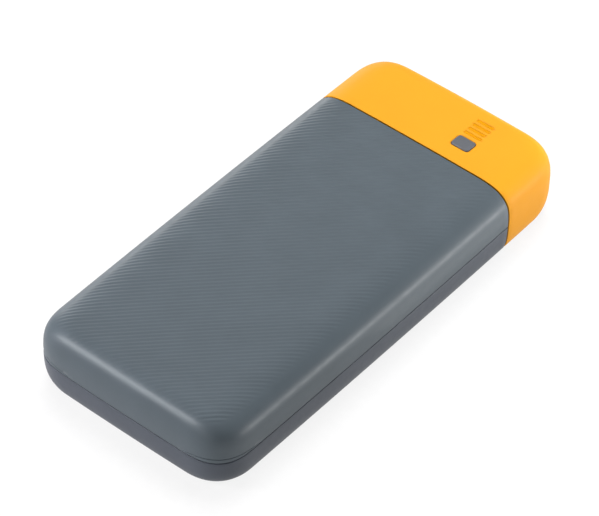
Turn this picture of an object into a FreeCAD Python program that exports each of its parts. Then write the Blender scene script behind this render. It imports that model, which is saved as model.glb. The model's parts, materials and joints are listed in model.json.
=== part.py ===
"""Rugged power bank: case of two shells, end cap with three USB sockets, a button and four charge lights.

Frame: X across the width, +Y towards the end cap, Z up, origin at the middle of the underside. Millimetres.
"""
import FreeCAD, Part
import math
import os
import re
import Sketcher
from FreeCAD import Rotation, Vector

SIZES = {
    # case
    "length": 178.0,
    "width": 82.5,
    "height": 25.4,
    "side_radius": 6600.0,  # the long sides bow gently outwards
    "end_radius": 1700.0,  # and so do the short ones
    "corner_radius": 15.0,
    "shoulder_radius": 10.0,  # top edge
    "underside_radius": 4.4,  # bottom edge
    "wall": 2.2,
    "parting": 11.0,  # height of the joint between the two shells
    "seam": 56.9,  # where the shells end and their spigot starts
    "seam_gap": 0.5,  # shadow line between the shells and the cap
    # spigot of the shells, which the cap slides over and latches on
    "spigot_length": 3.0,
    "spigot_wall": 1.6,
    "spigot_play": 0.15,
    "latch_depth": 1.2,
    "latch_root": 37.8,
    "latch_reach": 39.2,
    # snap hooks that hold the shells together
    "hook_width": 6.0,
    "hook_inside": 36.8,
    "hook_outside": 38.0,
    "barb_outside": 38.7,
    "hook_root": 39.6,
    # button
    "button_x": 13.7,
    "button_y": 66.7,
    "button_width": 7.2,
    "button_depth": 5.3,
    "button_corner": 1.0,
    "button_top": 25.7,
    "button_foot": 21.3,
    "button_play": 0.15,
    "flange_edge": 1.0,
    "flange_low": 22.2,
    "flange_high": 23.05,
    # charge windows
    "window_width": 7.0,
    "window_depth": 1.2,
    "window_play": 0.05,
    "window_pitch": 2.37,
    "window_y": 71.95,
    "window_top": 25.2,
    "guide_low": 21.7,
    "guide_high": 23.1,
    "guide_foot": 18.9,
    # boards
    "board_top": 18.0,
    "board_low": 16.4,
    "board_start": 55.0,
    "guard_low": 11.4,
    "guard_top": 12.4,
    "guard_y": 46.0,
    # sockets
    "mouth": 88.4,  # just behind the cap's end face
    "socket_play": 0.15,
    "bore_growth": -0.3,  # of a socket's bore against its outline: the sheet metal
    "wide_width": 13.1,  # USB-A
    "wide_height": 5.72,
    "wide_depth": 14.0,
    "slim_width": 8.94,  # USB-C
    "slim_height": 3.16,
    "slim_depth": 8.6,
    # cells
    "cell_width": 62.0,
    "cell_length": 122.0,
    "cell_thick": 9.2,
    "cell_start": -82.5,
    "cell_corner": 3.0,
    "cell_edge": 1.5,
    "foam_thick": 0.6,
    # M2 screws
    "screw_radius": 1.0,
    "screw_hole": 1.02,
    "screw_free": 1.15,
    "head_radius": 1.9,
    "head_height": 1.3,
    "post_x": 31.0,
    "post_radius": 2.5,
    "post_depth": 6.0,  # of the hole down a post
    "board_screw_length": 6.0,
    "carrier_screw_length": 4.0,
    "boss_x": 26.0,
    "boss_y": 50.5,
    "boss_radius": 3.0,
    "boss_floor": 0.9,
    "carrier_low": 3.95,
    "carrier_floor": 5.45,
}
WIDE_SOCKETS = {"left": -19.5, "middle": 0.0}
SLIM_SOCKET_X = 17.0
POST_Y = (62.0, 77.5)
LATCH_HEIGHTS = {"lower": (7, 10), "upper": (13, 16)}  # one pair of latches on each shell
ARM_HEIGHTS = (8, 15)  # of the snap hooks
BARB_HEIGHTS = (8, 9)
ROOT_HEIGHTS = (13, 15)
CATCH_HEIGHTS = (9.2, 10.4)
HOOK_Y = (-58.0, -12.0, 34.0)
TAB_X = (-12.0, 12.0)
LEAD_X = {"black_lead": -24.0, "red_lead": 24.0}
BOTH_SIDES = (-1, 1)
WINDOWS = range(4)
BEYOND = 100.0  # a plane outside the case on every side
ALONG_Y = Rotation(Vector(1, 0, 0), -90)

doc = FreeCAD.newDocument("power_bank")
sheet = doc.addObject("Spreadsheet::Sheet", "Sizes")
nodes = {}


def fill_sheet():
    for row, (alias, number) in enumerate(SIZES.items(), start=1):
        sheet.set(f"A{row}", alias)
        sheet.set(f"B{row}", str(number))
        sheet.setAlias(f"B{row}", alias)
    doc.recompute()


def formula(text):
    """A formula in cell names, as the document's expressions write it."""
    return re.sub(r"[a-z][a-z_]+", lambda word: "Sizes." + word.group(), str(text))


def bind(thing, sizes):
    for name, text in sizes.items():
        thing.setExpression(name, formula(text))
    return thing


def place(thing, x=0, y=0, z=0):
    return bind(thing, {"Placement.Base.x": x, "Placement.Base.y": y, "Placement.Base.z": z})


def node(name, thing):
    """Give an object its own name as a sub-part."""
    thing.Label = name
    nodes[name] = thing
    return thing


def block(name, x, y, z):
    """Box between a low and a high plane along each axis."""
    box = doc.addObject("Part::Box", name)
    for side, (low, high) in zip(("Length", "Width", "Height"), (x, y, z)):
        bind(box, {side: f"({high}) - ({low})"})
    return place(box, x[0], y[0], z[0])


def chip(name, x, y, z, size, height):
    """Small box by the middle of its lower face."""
    half_x, half_y = size[0] / 2, size[1] / 2
    return block(name, (x - half_x, x + half_x), (y - half_y, y + half_y), (z, f"{z} + {height}"))


def rod(name, x, y, z, radius):
    """Upright cylinder between two heights."""
    cylinder = doc.addObject("Part::Cylinder", name)
    bind(cylinder, {"Radius": radius, "Height": f"({z[1]}) - ({z[0]})"})
    return place(cylinder, x, y, z[0])


def fuse(name, shapes):
    joined = doc.addObject("Part::MultiFuse", name)
    joined.Shapes = shapes
    joined.Refine = True
    return joined


def group(name, shapes):
    """Separate solids of one kind under one name."""
    solids = doc.addObject("Part::Compound", name)
    solids.Links = shapes
    return solids


def cut(name, base, tool):
    rest = doc.addObject("Part::Cut", name)
    rest.Base = base
    rest.Tool = tool
    return rest


def common(name, base, tool):
    shared = doc.addObject("Part::Common", name)
    shared.Base = base
    shared.Tool = tool
    return shared


def new_body(name):
    return doc.addObject("PartDesign::Body", name)


def new_sketch(body, name, role="XY_Plane"):
    plane = [part for part in body.Origin.OriginFeatures if part.Role == role][0]
    sketch = body.newObject("Sketcher::SketchObject", name)
    sketch.AttachmentSupport = [(plane, "")]
    sketch.MapMode = "FlatFace"
    return sketch


def pad(body, sketch, length):
    feature = body.newObject("PartDesign::Pad", sketch.Name + "_pad")
    feature.Profile = sketch
    bind(feature, {"Length": length})
    doc.recompute()
    return feature


def round_rim(body, feature, level, radius):
    """Fillet the edges that lie in one horizontal plane of the body's own frame."""
    rim = []
    for number, edge in enumerate(feature.Shape.Edges, start=1):
        box = edge.BoundBox
        if abs(box.ZMin - level) < 1e-4 and abs(box.ZMax - level) < 1e-4:
            rim.append(f"Edge{number}")
    fillet = body.newObject("PartDesign::Fillet", f"{feature.Name}_rim_{len(body.Group)}")
    fillet.Base = (feature, rim)
    bind(fillet, {"Radius": radius})
    doc.recompute()
    return fillet


def constrain(sketch, text, *terms):
    """Add a dimension whose value is a formula."""
    index = sketch.addConstraint(Sketcher.Constraint(*terms))
    sketch.setExpression(f"Constraints[{index}]", formula(text))


def close_loop(sketch):
    """Join each edge of the loop to the next, tangentially."""
    count = len(sketch.Geometry)
    for index in range(count):
        sketch.addConstraint(Sketcher.Constraint("Tangent", index, 2, (index + 1) % count, 1))


def corner_centre(half_x, half_y):
    """Centre of the corner arc that is tangent to a bowed long side and a bowed short side."""
    to_side = SIZES["side_radius"] - SIZES["corner_radius"]
    to_end = SIZES["end_radius"] - SIZES["corner_radius"]
    side_x = half_x - SIZES["side_radius"]
    end_y = half_y - SIZES["end_radius"]
    x, y = half_x - SIZES["corner_radius"], half_y - SIZES["corner_radius"]
    for _ in range(30):
        x = side_x + math.sqrt(to_side**2 - y**2)
        y = end_y + math.sqrt(to_end**2 - x**2)
    return x, y


def case_outline(sketch, inset_cells):
    """Outline of the case offset inwards: four slightly bowed sides and four tangent corner arcs."""
    inset = sum(SIZES[cell] for cell in inset_cells)
    inset_text = " + ".join(inset_cells) or "0"
    half_x, half_y = SIZES["width"] / 2, SIZES["length"] / 2
    side_x, end_y = half_x - SIZES["side_radius"], half_y - SIZES["end_radius"]
    x, y = corner_centre(half_x, half_y)
    side = math.atan2(y, x - side_x)
    end = math.atan2(y - end_y, x)
    turn = math.pi
    arcs = [
        (side_x, 0, "side_radius", -side, side),
        (x, y, "corner_radius", side, end),
        (0, end_y, "end_radius", end, turn - end),
        (-x, y, "corner_radius", turn - end, turn - side),
        (-side_x, 0, "side_radius", turn - side, turn + side),
        (-x, -y, "corner_radius", turn + side, turn + end),
        (0, -end_y, "end_radius", turn + end, 2 * turn - end),
        (x, -y, "corner_radius", 2 * turn - end, 2 * turn - side),
    ]
    for centre_x, centre_y, cell, start, stop in arcs:
        circle = Part.Circle(Vector(centre_x, centre_y, 0), Vector(0, 0, 1), SIZES[cell] - inset)
        sketch.addGeometry(Part.ArcOfCircle(circle, start, stop))
    close_loop(sketch)
    for index, (_, _, cell, _, _) in enumerate(arcs):
        constrain(sketch, f"{cell} - ({inset_text})", "Radius", index, SIZES[cell] - inset)
    for index, axis in ((0, -1), (4, -1), (2, -2), (6, -2)):
        sketch.addConstraint(Sketcher.Constraint("PointOnObject", index, 3, axis))
    constrain(sketch, "side_radius - width/2", "DistanceX", 0, 3, -1, 1, -side_x)
    constrain(sketch, "side_radius - width/2", "DistanceX", -1, 1, 4, 3, -side_x)
    constrain(sketch, "end_radius - length/2", "DistanceY", 2, 3, -1, 1, -end_y)
    constrain(sketch, "end_radius - length/2", "DistanceY", -1, 1, 6, 3, -end_y)


def form(name, inset_cells):
    """Solid with the outline of the case and rounded rims, smaller by an inset on every side."""
    inset = " + ".join(inset_cells) or "0"
    depth = sum(SIZES[cell] for cell in inset_cells)
    body = new_body(name)
    sketch = new_sketch(body, name + "_outline")
    case_outline(sketch, inset_cells)
    slab = pad(body, sketch, f"height - 2*({inset})")
    tall = SIZES["height"] - 2 * depth
    top = round_rim(body, slab, tall, f"shoulder_radius - ({inset})")
    round_rim(body, top, 0, f"underside_radius - ({inset})")
    return place(body, z=inset)


def rounded_plate(name, size, grow, corner, height):
    """Rounded rectangle about its own middle, padded upwards. Size and growth are cell names."""
    width, depth = (SIZES[cell] + 2 * SIZES.get(grow, 0) for cell in size)
    radius = SIZES.get(corner, corner)
    body = new_body(name)
    sketch = new_sketch(body, name + "_outline")
    x, y = width / 2, depth / 2
    in_x, in_y = x - radius, y - radius
    sides = [(x, -in_y, x, in_y), (in_x, y, -in_x, y), (-x, in_y, -x, -in_y), (-in_x, -y, in_x, -y)]
    centres = [(in_x, in_y), (-in_x, in_y), (-in_x, -in_y), (in_x, -in_y)]
    for turn in range(4):
        x1, y1, x2, y2 = sides[turn]
        sketch.addGeometry(Part.LineSegment(Vector(x1, y1, 0), Vector(x2, y2, 0)))
        circle = Part.Circle(Vector(*centres[turn], 0), Vector(0, 0, 1), radius)
        sketch.addGeometry(Part.ArcOfCircle(circle, turn * math.pi / 2, (turn + 1) * math.pi / 2))
    close_loop(sketch)
    sketch.addConstraint(Sketcher.Constraint("Vertical", 4))
    sketch.addConstraint(Sketcher.Constraint("Horizontal", 6))
    sketch.addConstraint(Sketcher.Constraint("Symmetric", 0, 1, 0, 2, -1))
    sketch.addConstraint(Sketcher.Constraint("Symmetric", 2, 1, 2, 2, -2))
    for index in (3, 5, 7):
        sketch.addConstraint(Sketcher.Constraint("Equal", 1, index))
    constrain(sketch, corner, "Radius", 1, radius)
    growth = f" + 2*{grow}" if grow else ""
    constrain(sketch, size[0] + growth, "DistanceX", 4, 1, 0, 1, width)
    constrain(sketch, size[1] + growth, "DistanceY", 6, 1, 2, 1, depth)
    pad(body, sketch, height)
    return body


def facing_y(body, x, y, z):
    """Turn a padded plate so that it runs along +Y from y."""
    body.Placement.Rotation = ALONG_Y
    return place(body, x, y, z)


def side_block(name, side, inside, outside, y, z):
    """Block between two distances from the middle plane, on one side."""
    x = (inside, outside) if side > 0 else (f"-({outside})", f"-({inside})")
    return block(name, x, y, z)


def latches(name, shell, play):
    """Latch on each side of one shell's spigot; grown by the play, the pair is the pockets in the cap."""
    middle = "seam + spigot_length/2"
    half = f"latch_depth/2 + {play}"
    y = (f"{middle} - ({half})", f"{middle} + {half}")
    low, high = LATCH_HEIGHTS[shell]
    z = (low - play, high + play)
    return [side_block(name, side, "latch_root", f"latch_reach + {play}", y, z) for side in BOTH_SIDES]


def shell_parts(name, low, high):
    """Skin, thickened edge and spigot of one shell, between two heights."""
    across = (-BEYOND, BEYOND)
    root = block(name + "_edge_zone", across, ("seam - spigot_length", "seam"), (low, high))
    reach = block(name + "_spigot_zone", across, ("seam", "seam + spigot_length"), (low, high))
    zone = block(name + "_zone", across, (-BEYOND, "seam"), (low, high))
    return [
        common(name + "_skin", doc.skin, zone),
        common(name + "_edge", doc.thick_skin, root),
        common(name + "_spigot", doc.spigot_skin, reach),
    ]


def make_forms():
    """Nested solids that the shells and the cap are cut from."""
    play = ["wall", "spigot_play"]
    outer = form("outer_form", [])
    inner = form("inner_form", ["wall"])
    spigot_outer = form("spigot_outer_form", play)
    spigot_inner = form("spigot_inner_form", play + ["spigot_wall"])
    cut("skin", outer, inner)
    cut("thick_skin", outer, spigot_inner)
    cut("spigot_skin", spigot_outer, spigot_inner)


def hook_places():
    """Side and length of the case that each of the six snap hooks takes up."""
    return [(side, (f"{y} - hook_width/2", f"{y} + hook_width/2")) for side in BOTH_SIDES for y in HOOK_Y]


def make_top_shell():
    """Upper shell with hooks that reach down inside the lower one."""
    parts = shell_parts("top_shell", "parting", BEYOND)
    for side, y in hook_places():
        parts.append(side_block("hook_arm", side, "hook_inside", "hook_outside", y, ARM_HEIGHTS))
        parts.append(side_block("hook_barb", side, "hook_inside", "barb_outside", y, BARB_HEIGHTS))
        parts.append(side_block("hook_root", side, "hook_inside", "hook_root", y, ROOT_HEIGHTS))
    parts += latches("upper_latch", "upper", 0)
    node("top_shell", fuse("top_shell_solid", parts))


def make_bottom_shell():
    """Lower shell with a catch above each hook's barb and two bosses for the board carrier."""
    parts = shell_parts("bottom_shell", -BEYOND, "parting")
    for side, y in hook_places():
        inside = "hook_outside + spigot_play"
        parts.append(side_block("catch", side, inside, "hook_root", y, CATCH_HEIGHTS))
    parts += boss_rods("boss", ("wall/2", "carrier_low"), "boss_radius")
    parts += latches("lower_latch", "lower", 0)
    holes = boss_rods("boss_hole", ("boss_floor", "carrier_low"), "screw_hole")
    solid = fuse("bottom_shell_solid", parts)
    node("bottom_shell", cut("bottom_shell_drilled", solid, fuse("boss_holes", holes)))


def window_middle(index):
    return f"window_y + {index}*window_pitch"


def button_body(name, grow, low, high):
    size = ("button_width", "button_depth")
    plate = rounded_plate(name, size, grow, "button_corner", f"({high}) - ({low})")
    return place(plate, "button_x", "button_y", low)


def socket_tube(name, kind, x, corner, grow, start, end):
    """Rounded-rectangle prism of a socket along Y, its top against the underside of the board."""
    size = (f"{kind}_width", f"{kind}_height")
    prism = rounded_plate(name, size, grow, corner, f"({end}) - ({start})")
    return facing_y(prism, x, start, f"board_low - {kind}_height/2")


def make_end_cap():
    zone = block("cap_zone", (-BEYOND, BEYOND), ("seam + seam_gap", BEYOND), (-BEYOND, BEYOND))
    blank = common("cap_blank", doc.skin, zone)
    tools = [button_body("button_hole", "button_play", "flange_high", "height + 1")]
    half_x, half_y = "window_width/2", "window_depth/2"
    for index in WINDOWS:
        middle = window_middle(index)
        x = (f"button_x - {half_x}", f"button_x + {half_x}")
        y = (f"{middle} - {half_y}", f"{middle} + {half_y}")
        tools.append(block("window_slot", x, y, ("guide_high", "height + 1")))
    for name, x in WIDE_SOCKETS.items():
        tools.append(socket_tube(f"port_{name}", "wide", x, 0.75, "socket_play", "mouth - 4", "mouth + 2"))
    slim = socket_tube("port_slim", "slim", SLIM_SOCKET_X, 1.7, "socket_play", "mouth - 4", "mouth + 2")
    tools.append(slim)
    for shell in LATCH_HEIGHTS:
        tools += latches("latch_pocket", shell, SIZES["spigot_play"])
    node("end_cap", cut("cap_cut", blank, fuse("cap_openings", tools)))


def make_button():
    """Key with a retaining flange under the cap's wall, and a stem that stands on the switch."""
    key = button_body("button_key", "", "flange_high", "button_top")
    flange = button_body("button_flange", "flange_edge", "flange_low", "flange_high")
    stem = rod("button_stem", "button_x", "button_y", ("button_foot", "flange_low"), 1.5)
    node("button", fuse("button_solid", [key, flange, stem]))


def make_light_guide():
    """Clear block under the cap with a bar in each window and a leg over each light."""
    y = (f"{window_middle(0)} - 1.05", f"{window_middle(3)} + 0.85")
    parts = [block("guide_block", ("button_x - 4.6", "button_x + 4.6"), y, ("guide_low", "guide_high"))]
    for index in WINDOWS:
        middle = window_middle(index)
        half = "(window_depth/2 - window_play)"
        width = "(window_width/2 - window_play)"
        x = (f"button_x - {width}", f"button_x + {width}")
        bar = (f"{middle} - {half}", f"{middle} + {half}")
        parts.append(block("guide_bar", x, bar, ("guide_high", "window_top")))
        leg = (f"{middle} - 0.6", f"{middle} + 0.6")
        across = ("button_x - 1.1", "button_x + 1.1")
        parts.append(block("guide_leg", across, leg, ("guide_foot", "guide_low")))
    node("light_guide", fuse("light_guide_solid", parts))


def post_rods(name, z, radius):
    shapes = []
    for side in BOTH_SIDES:
        for y in POST_Y:
            shapes.append(rod(name, f"{side}*post_x", y, z, radius))
    return shapes


def boss_rods(name, z, radius):
    return [rod(name, f"{side}*boss_x", "boss_y", z, radius) for side in BOTH_SIDES]


def make_main_board():
    plate = block("board_plate", (-35, 35), ("board_start", BEYOND), ("board_low", "board_top"))
    shaped = common("board_shaped", plate, doc.spigot_inner_form)
    holes = fuse("board_holes", post_rods("board_hole", ("board_low", "board_top"), "screw_free"))
    node("main_board", cut("board_drilled", shaped, holes))


def make_carrier():
    """Tray that carries the board on four posts and is screwed to the bottom shell."""
    plate = block("carrier_plate", (-34, 34), (47, 84), ("carrier_low", "carrier_floor"))
    floor = common("carrier_shaped", plate, doc.spigot_inner_form)
    solid = fuse("carrier_solid", [floor] + post_rods("post", ("carrier_low", "board_low"), "post_radius"))
    holes = post_rods("post_hole", ("board_low - post_depth", "board_low"), "screw_hole")
    holes += boss_rods("carrier_hole", ("carrier_low", "carrier_floor"), "screw_free")
    node("board_carrier", cut("carrier_drilled", solid, fuse("carrier_holes", holes)))


def screw(name, x, y, seat, length):
    """Screw whose head sits on a seat, with its shank below."""
    head = rod(name + "_head", x, y, (seat, f"{seat} + head_height"), "head_radius")
    shank = rod(name + "_shank", x, y, (f"{seat} - {length}", seat), "screw_radius")
    return fuse(name, [head, shank])


def make_screws():
    board = []
    carrier = []
    for side in BOTH_SIDES:
        for y in POST_Y:
            board.append(screw("board_screw", f"{side}*post_x", y, "board_top", "board_screw_length"))
        x = f"{side}*boss_x"
        carrier.append(screw("carrier_screw", x, "boss_y", "carrier_floor", "carrier_screw_length"))
    node("board_screws", group("board_screw_set", board))
    node("carrier_screws", group("carrier_screw_set", carrier))


def make_wide_socket(side, x):
    """USB-A socket under the board: folded steel shell, moulded block with a tongue, four contacts."""
    start = "mouth - wide_depth"
    outer = socket_tube(f"wide_outer_{side}", "wide", x, 0.6, "", start, "mouth")
    inner = socket_tube(f"wide_inner_{side}", "wide", x, 0.3, "bore_growth", start, "mouth + 1")
    node(f"usb_a_shell_{side}", cut(f"wide_shell_{side}", outer, inner))
    back = block("wide_back", (x - 6.1, x + 6.1), (f"{start} + 0.2", f"{start} + 3.2"), (11.1, 15.98))
    tongue = block("wide_tongue", (x - 5.55, x + 5.55), (f"{start} + 3.2", "mouth - 2.3"), (11.7, 13.5))
    node(f"usb_a_insulator_{side}", fuse(f"wide_insulator_{side}", [back, tongue]))
    strips = []
    for step in (-3.5, -1.0, 1.0, 3.5):
        strips.append(chip("wide_contact", x + step, 81.8, 13.5, (1.0, 7.4), 0.15))
    node(f"usb_a_contacts_{side}", group(f"wide_contacts_{side}", strips))


def make_slim_socket():
    """USB-C socket under the board: steel shell, moulded block with a tongue, contacts on both faces."""
    x = SLIM_SOCKET_X
    start = "mouth - slim_depth"
    middle = SIZES["board_low"] - SIZES["slim_height"] / 2
    outer = socket_tube("slim_outer", "slim", x, 1.5, "", start, "mouth")
    inner = socket_tube("slim_inner", "slim", x, 1.2, "bore_growth", start, "mouth + 1")
    node("usb_c_shell", cut("slim_shell", outer, inner))
    joint = f"{start} + 2.6"
    back = block("slim_back", (x - 3.2, x + 3.2), (f"{start} + 0.2", joint), (middle - 1.2, middle + 1.2))
    thickness = (middle - 0.35, middle + 0.35)
    tongue = block("slim_tongue", (x - 3.3, x + 3.3), (joint, "mouth - 1.2"), thickness)
    node("usb_c_insulator", fuse("slim_insulator", [back, tongue]))
    strips = []
    for face in (middle + 0.35, middle - 0.43):
        for step in range(12):
            strips.append(chip("slim_contact", x + 0.5 * (step - 5.5), 84.6, face, (0.25, 3.8), 0.08))
    node("usb_c_contacts", group("slim_contacts", strips))


def make_switch():
    """Tactile switch under the button: cup, soldered feet, snap dome, plunger and metal cover."""
    x, y = SIZES["button_x"], SIZES["button_y"]
    low = SIZES["board_top"]
    cup = chip("switch_cup", x, y, low, (5, 5), 1.9)
    well = rod("switch_well", x, y, (low + 0.5, low + 2), 1.8)
    node("switch_base", cut("switch_base_solid", cup, well))
    feet = []
    for side in BOTH_SIDES:
        for step in (-1.6, 1.6):
            feet.append(chip("switch_foot", x + side * 2.95, y + step, low, (0.9, 0.7), 0.15))
    node("switch_feet", group("switch_foot_set", feet))
    plate = chip("switch_plate", x, y, low + 1.9, (5, 5), 0.2)
    node("switch_cover", cut("switch_cover_solid", plate, rod("cover_hole", x, y, (low, low + 3), 1.25)))
    flange = rod("plunger_flange", x, y, (low + 1.35, low + 1.8), 1.6)
    pin = rod("plunger_pin", x, y, (low + 1.0, "button_foot"), 1.0)
    node("switch_plunger", fuse("switch_plunger_solid", [flange, pin]))
    make_snap_dome(x, y, low + 0.5)


def make_snap_dome(x, y, low):
    """Thin domed disc, 0.5 high and 3.2 across, turned from a sketched arc."""
    gauge = 0.08
    rise = 0.5 - gauge
    reach = 1.6
    radius = (reach**2 + rise**2) / (2 * rise)
    angle = math.acos((radius - rise) / radius)
    centre = Vector(0, rise - radius, 0)
    body = new_body("snap_dome")
    sketch = new_sketch(body, "dome_profile", "XZ_Plane")
    start = math.pi / 2 - angle
    for size in (radius, radius - gauge):
        circle = Part.Circle(centre, Vector(0, 0, 1), size)
        sketch.addGeometry(Part.ArcOfCircle(circle, start, math.pi / 2))
    for index, side in enumerate((1, 2)):
        near = sketch.getPoint(0, side)
        far = sketch.getPoint(1, side)
        sketch.addGeometry(Part.LineSegment(near, far))
        sketch.addConstraint(Sketcher.Constraint("Coincident", 0, side, 2 + index, 1))
        sketch.addConstraint(Sketcher.Constraint("Coincident", 1, side, 2 + index, 2))
    turned = body.newObject("PartDesign::Revolution", "dome_turned")
    turned.Profile = sketch
    turned.ReferenceAxis = (sketch, ["V_Axis"])
    turned.Angle = 360
    place(body, x, y, low + gauge)
    node("switch_dome", body)


def make_lights():
    lights = []
    for index in WINDOWS:
        y = SIZES["window_y"] + index * SIZES["window_pitch"]
        lights.append(chip("light", SIZES["button_x"], y, SIZES["board_top"], (1.6, 0.8), 0.6))
    node("charge_leds", group("charge_led_set", lights))


def make_board_components():
    top, low = SIZES["board_top"], SIZES["board_low"]
    node("controller_ic", chip("controller", -12, 68, top, (7, 7), 0.9))
    charger = [chip("charger", x, 62, top, (5, 5), 0.9) for x in (-3, 5)]
    node("charger_ics", group("charger_set", charger))
    switches = [chip("board_mosfet", x, 78, top, (3.3, 3.3), 0.9) for x in (-24, -19, -14, -9, -4, 1)]
    node("port_mosfets", group("port_mosfet_set", switches))
    passives = [chip("resistor", x, 72.8, top, (0.8, 1.6), 0.45) for x in (-24, -22, -20, -5, -3, -1, 1, 3)]
    node("resistors", group("resistor_set", passives))
    row = (-20, -17, -14, -11, 12, 15, 18, 21)
    passives = [chip("chip_capacitor", x, 58, top, (1.25, 2.0), 1.25) for x in row]
    node("chip_capacitors", group("chip_capacitor_set", passives))
    coils = [chip("coil", x, 64, low - 5, (11, 11), 5) for x in (-8, 6)]
    node("inductors", group("inductor_set", coils))
    cans = [rod("can", x, 67, (low - 5.8, low), 3.15) for x in (-24, -17, 15.5, 22.5)]
    node("can_capacitors", group("can_capacitor_set", cans))


def make_cell(name, low):
    body = rounded_plate(name + "_pouch", ("cell_width", "cell_length"), "", "cell_corner", "cell_thick")
    slab = body.Tip
    top = round_rim(body, slab, SIZES["cell_thick"], "cell_edge")
    round_rim(body, top, 0, "cell_edge")
    node(name, place(body, 0, "cell_start + cell_length/2", low))


def make_cells():
    lower = "wall + foam_thick"
    upper = "wall + 2*foam_thick + cell_thick"
    make_cell("lower_cell", lower)
    make_cell("upper_cell", upper)
    flat = (-80, 37)
    node("lower_foam", block("lower_foam_pad", (-29, 29), flat, ("wall", lower)))
    node("middle_foam", block("middle_foam_pad", (-29, 29), flat, (f"{upper} - foam_thick", upper)))
    above = (f"{upper} + cell_thick", "height - wall")
    node("upper_foam", block("upper_foam_pad", (-27, 27), (-78, 37), above))
    node("end_foam", block("end_foam_pad", (-24, 24), (-86, "cell_start"), (6, 17)))
    end = "cell_start + cell_length"
    make_tabs("lower_cell_tabs", end, f"{lower} + cell_thick/2", "guard_low")
    make_tabs("upper_cell_tabs", end, f"{upper} + cell_thick/2", "guard_top")


def make_tabs(name, end, level, board_face):
    """Pair of strips that run out of a cell and turn to the protection board."""
    gauge = 0.2
    bend = 44.5
    strips = []
    for x in TAB_X:
        across = (x - 4, x + 4)
        run = block("tab_run", across, (end, bend), (level, f"{level} + {gauge}"))
        high, low = (board_face, level) if board_face == "guard_low" else (f"{level} + {gauge}", board_face)
        turn = block("tab_turn", across, (bend - gauge, bend), (low, high))
        strips.append(fuse("tab", [run, turn]))
    node(name, group(name + "_pair", strips))


def make_guard_board():
    y = ("guard_y - 3.5", "guard_y + 3.5")
    node("protection_board", block("guard_plate", (-28, 28), y, ("guard_low", "guard_top")))
    parts = [chip("guard_mosfet", x, 47, SIZES["guard_top"], (3, 3), 0.9) for x in (-4.5, 0, 4.5)]
    node("protection_mosfets", group("guard_mosfet_set", parts))


def make_leads():
    """Insulated wires from the protection board to the underside of the main board."""
    gauge = 0.8
    clear = 0.05
    low = SIZES["guard_top"] + gauge + clear
    high = SIZES["board_low"] - gauge - clear
    route = [Vector(0, 46, low), Vector(0, 50.5, low), Vector(0, 54.8, high), Vector(0, 60, high)]
    for name, x in LEAD_X.items():
        body = new_body(name + "_wire")
        spine = new_sketch(body, name + "_spine", "YZ_Plane")
        draw_route(spine, route)
        section = new_sketch(body, name + "_section", "XZ_Plane")
        section.AttachmentOffset.Base = Vector(0, 0, -route[0].y)
        section.addGeometry(Part.Circle(Vector(0, low, 0), Vector(0, 0, 1), gauge))
        pipe = body.newObject("PartDesign::AdditivePipe", name + "_pipe")
        pipe.Profile = section
        pipe.Spine = spine
        place(body, x)
        node(name, body)


def draw_route(sketch, route):
    """Straight runs joined by tangent arcs, each as large as its two runs allow."""
    start = route[0]
    for before, corner, after in zip(route, route[1:], route[2:]):
        into, out = (corner - before).normalize(), (after - corner).normalize()
        turn = into.getAngle(out)
        reach = 0.45 * min((corner - before).Length, (after - corner).Length)
        radius = reach / math.tan(turn / 2)
        enter, leave = corner - into * reach, corner + out * reach
        middle = corner + (out - into).normalize() * (math.hypot(radius, reach) - radius)
        sketch.addGeometry(Part.LineSegment(flat(start), flat(enter)))
        sketch.addGeometry(Part.Arc(flat(enter), flat(middle), flat(leave)))
        print("lead bend radius", round(radius, 2))
        start = leave
    sketch.addGeometry(Part.LineSegment(flat(start), flat(route[-1])))


def flat(point):
    """A point of the YZ plane in sketch coordinates."""
    return Vector(point.y, point.z, 0)


def check_document():
    doc.recompute()
    for thing in doc.Objects:
        if "Invalid" in thing.State or "Error" in thing.State:
            raise SystemExit(f"{thing.Name} failed: {thing.State}")
    for name, thing in nodes.items():
        shape = thing.Shape
        if shape.isNull() or not shape.isValid() or not shape.Solids:
            raise SystemExit(f"{name} has no valid solid")


def write_steps():
    os.makedirs("parts", exist_ok=True)
    for name, thing in nodes.items():
        thing.Shape.exportStep(f"parts/{name}.step")
    print(len(nodes), "sub-parts written")


fill_sheet()
make_forms()
make_top_shell()
make_bottom_shell()
make_end_cap()
make_button()
make_light_guide()
make_main_board()
make_carrier()
make_screws()
for socket_side, socket_x in WIDE_SOCKETS.items():
    make_wide_socket(socket_side, socket_x)
make_slim_socket()
make_switch()
make_lights()
make_board_components()
make_cells()
make_guard_board()
make_leads()
check_document()
write_steps()
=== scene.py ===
"""Looks of the power bank: case, button, light guide, snap dome, materials, floor, lights and camera.

Lengths are in millimetres and become metres when a mesh is made. Lights and the floor are placed in metres.
"""
import json
import math
from collections import namedtuple

import bmesh
import bpy
import numpy as np
from mathutils import Matrix, Vector

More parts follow.
